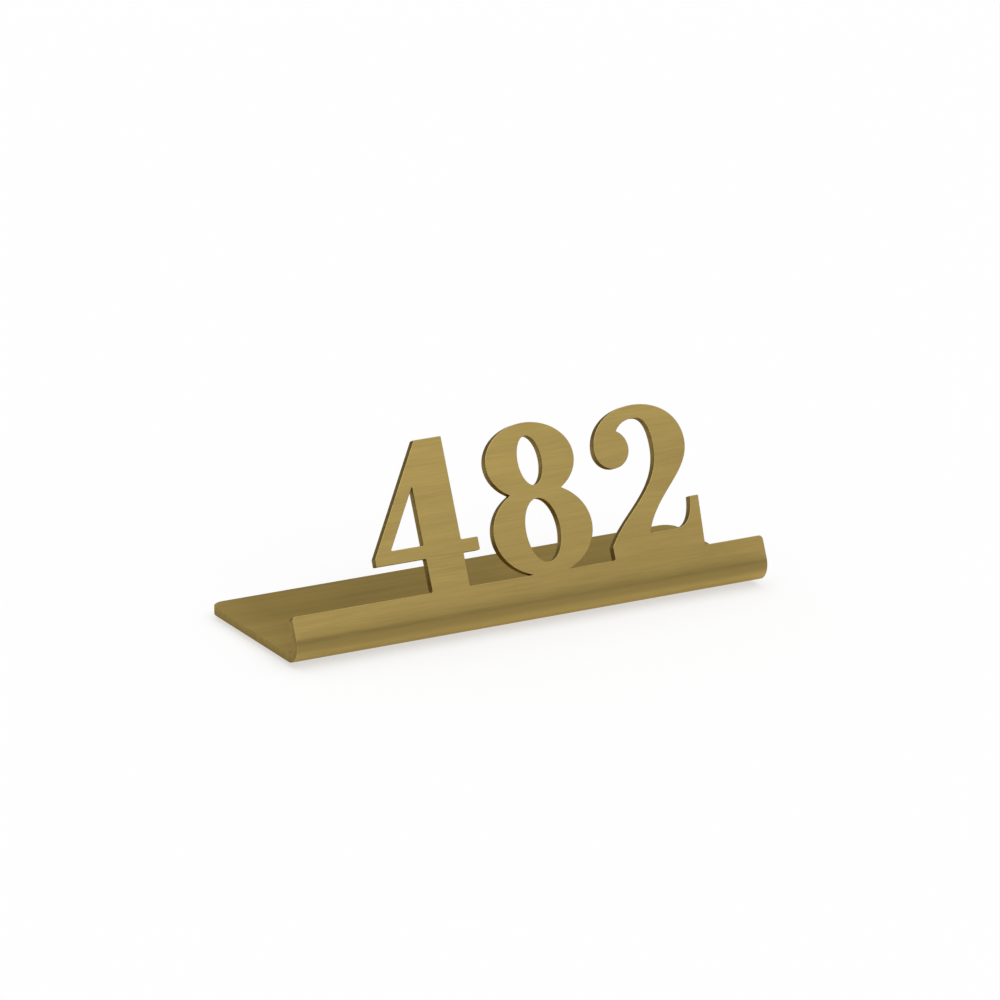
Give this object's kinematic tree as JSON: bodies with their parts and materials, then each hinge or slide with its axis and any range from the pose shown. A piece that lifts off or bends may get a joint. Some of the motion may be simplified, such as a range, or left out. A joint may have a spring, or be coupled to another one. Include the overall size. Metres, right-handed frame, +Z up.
{
  "type": "table sign",
  "caption": "Free-standing table number folded from brushed sheet brass, with cut-out numerals that lean back over a flat base on rubber pads.",
  "frame": {"origin": "on the table, under the middle of the sign", "axes": "+X along the sign from left to right as it is read, +Y from its front to its back, +Z up"},
  "size_m": [0.12, 0.0432, 0.0432],
  "materials": {
    "brushed_brass": "brushed along the sign, satin, with duller cut edges",
    "pad_rubber": "matt"
  },
  "bodies": {
    "root": {"sign_plate": "brushed_brass", "pad_front_left": "pad_rubber", "pad_front_right": "pad_rubber", "pad_rear_left": "pad_rubber", "pad_rear_right": "pad_rubber"}
  },
  "joints": []
}
